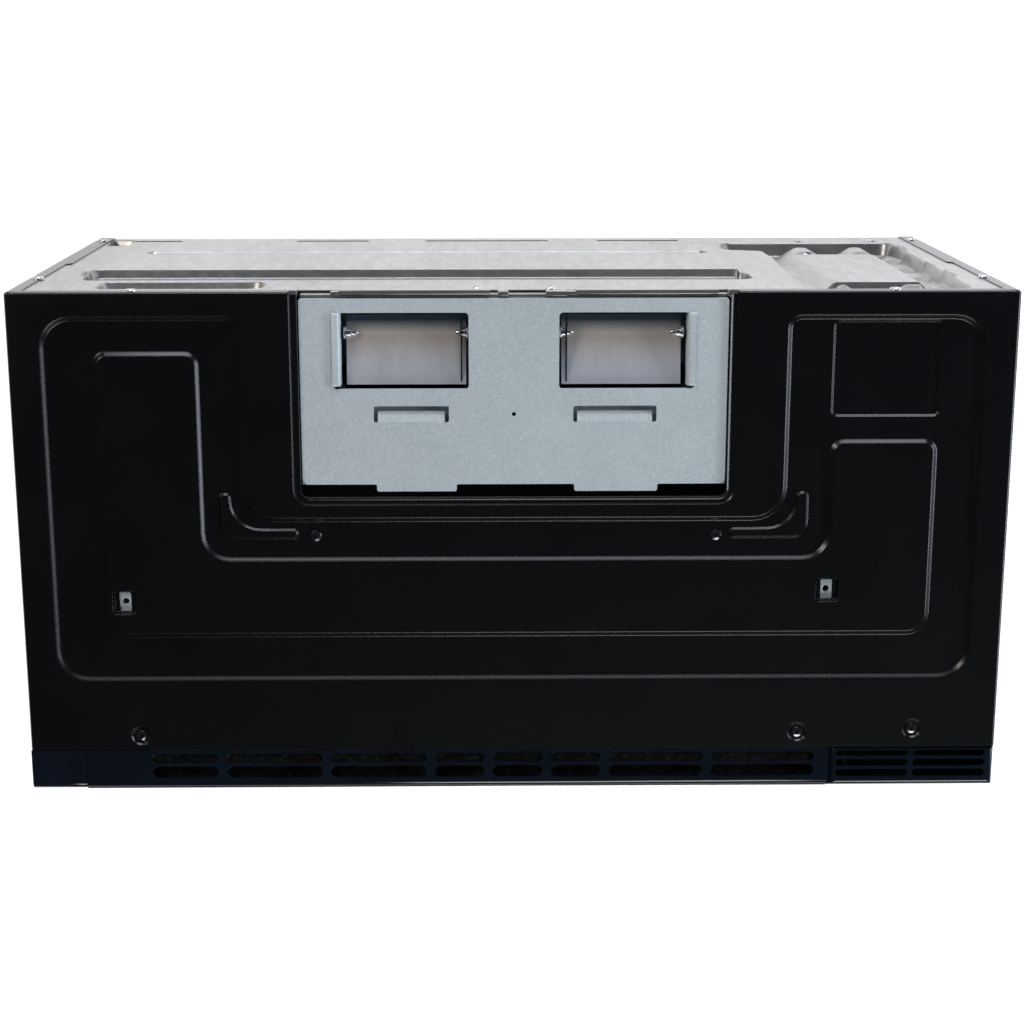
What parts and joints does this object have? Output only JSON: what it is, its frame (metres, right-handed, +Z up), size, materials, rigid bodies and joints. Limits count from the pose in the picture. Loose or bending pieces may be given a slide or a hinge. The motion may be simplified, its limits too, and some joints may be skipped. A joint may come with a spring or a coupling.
{
  "type": "over-the-range microwave oven",
  "caption": "Microwave oven with exhaust hood: pressed black case, twin blower outlets on top, swinging glass door, turntable, vent grille and control panel.",
  "frame": {"origin": "bottom centre of the outline, handle included", "axes": "+X to the control panel (right as seen from the front), +Y to the wall, +Z up"},
  "size_m": [0.759, 0.4348, 0.417],
  "materials": {
    "black_painted_steel": "semi-gloss",
    "galvanised_steel": "spangled zinc",
    "frame_steel": "satin",
    "cavity_enamel": "satin enamel",
    "zinc_screws": "zinc plated",
    "stainless": "brushed",
    "black_moulding": "gloss",
    "satin_moulding": "satin",
    "white_moulding": "satin",
    "dark_glass": "gloss",
    "clear_glass": "gloss",
    "screen_steel": "satin",
    "mica": "matt",
    "filter_aluminium": "woven mesh",
    "charcoal": "granular",
    "copper_windings": "lacquered",
    "motor_steel": "plain",
    "can_aluminium": "drawn",
    "circuit_board": "lacquered",
    "lamp_glass": "frosted"
  },
  "bodies": {
    "root": {"outer_wrap": "black_painted_steel", "back_panel": "galvanised_steel", "base_plate": "frame_steel", "front_frame": "galvanised_steel", "cavity": "cavity_enamel", "waveguide_cover": "mica", "cavity_lamp": "lamp_glass", "bolt_nuts": "zinc_screws", "top_screws": "zinc_screws", "rear_screws": "zinc_screws", "blower_plate": "galvanised_steel", "blower_scroll_left": "galvanised_steel", "blower_scroll_right": "galvanised_steel", "blower_motor": "motor_steel", "vent_grille": "black_moulding", "grille_end_cap": "black_moulding", "charcoal_filter": "charcoal", "control_panel": "black_moulding", "display_window": "dark_glass", "keypad": "satin_moulding", "control_board": "circuit_board", "grease_filter_left": "filter_aluminium", "grease_filter_right": "filter_aluminium", "cooktop_lamps": "lamp_glass", "lamp_cover": "clear_glass", "hinge_upper": "zinc_screws", "hinge_lower": "zinc_screws", "turntable_motor": "motor_steel", "waveguide": "galvanised_steel", "magnetron": "motor_steel", "hv_transformer": "copper_windings", "hv_capacitor": "can_aluminium", "hv_diode": "satin_moulding", "fan_duct": "galvanised_steel", "fan_motor": "motor_steel", "noise_filter_board": "circuit_board", "thermostats": "motor_steel", "interlock_bracket": "white_moulding", "interlock_switches": "satin_moulding"},
    "door": {"door_frame": "satin_moulding", "door_skin": "stainless", "door_glass": "dark_glass", "door_inner_panel": "frame_steel", "door_screen": "screen_steel", "door_inner_glass": "clear_glass", "choke_cover": "satin_moulding", "door_handle": "stainless", "handle_screws": "zinc_screws"},
    "latch": {"latch_bar": "white_moulding", "latch_spring": "zinc_screws"},
    "blower_rotor": {"blower_shaft": "motor_steel", "blower_wheel_left": "satin_moulding", "blower_wheel_right": "satin_moulding"},
    "fan_rotor": {"fan_blade": "white_moulding"},
    "turntable": {"turntable_coupler": "white_moulding", "glass_tray": "clear_glass"},
    "roller_ring_body": {"roller_ring": "white_moulding"},
    "roller_body_1": {"roller_1": "white_moulding"},
    "roller_body_2": {"roller_2": "white_moulding"},
    "roller_body_3": {"roller_3": "white_moulding"}
  },
  "joints": [
    {"name": "door_swing", "type": "hinge", "parent": "root", "child": "door", "pos_m": [-0.3665, -0.15865, 0.193], "axis": [0, 0, -1], "range_deg": [0, 95]},
    {"name": "latch_lift", "type": "slide", "parent": "door", "child": "latch", "axis": [0, 0, 1], "range_m": [0, 0.004], "stiffness_N_per_m": 150, "springref_m": -0.006},
    {"name": "blower_spin", "type": "hinge", "parent": "root", "child": "blower_rotor", "pos_m": [0, 0.11585, 0.364], "axis": [1, 0, 0], "continuous": true},
    {"name": "cooling_fan_spin", "type": "hinge", "parent": "root", "child": "fan_rotor", "pos_m": [0.288, 0.12935, 0.226], "axis": [0, -1, 0], "continuous": true},
    {"name": "turntable_spin", "type": "hinge", "parent": "root", "child": "turntable", "pos_m": [-0.06, 0.02635, 0.0896], "axis": [0, 0, 1], "continuous": true},
    {"name": "roller_ring_spin", "type": "hinge", "parent": "root", "child": "roller_ring_body", "pos_m": [-0.06, 0.02635, 0.0823], "axis": [0, 0, 1], "continuous": true},
    {"name": "roller_1_spin", "type": "hinge", "parent": "roller_ring_body", "child": "roller_body_1", "pos_m": [0.0328, 0.02635, 0.0823], "axis": [1, 0, 0], "continuous": true},
    {"name": "roller_2_spin", "type": "hinge", "parent": "roller_ring_body", "child": "roller_body_2", "pos_m": [-0.1064, 0.10672, 0.0823], "axis": [-0.5, 0.866, 0], "continuous": true},
    {"name": "roller_3_spin", "type": "hinge", "parent": "roller_ring_body", "child": "roller_body_3", "pos_m": [-0.1064, -0.05402, 0.0823], "axis": [-0.5, -0.866, 0], "continuous": true}
  ],
  "couplings": [
    {"joint": "roller_ring_spin", "follows": "turntable_spin", "ratio": 0.5},
    {"joint": "roller_1_spin", "follows": "turntable_spin", "ratio": -6.6286},
    {"joint": "roller_2_spin", "follows": "turntable_spin", "ratio": -6.6286},
    {"joint": "roller_3_spin", "follows": "turntable_spin", "ratio": -6.6286}
  ]
}
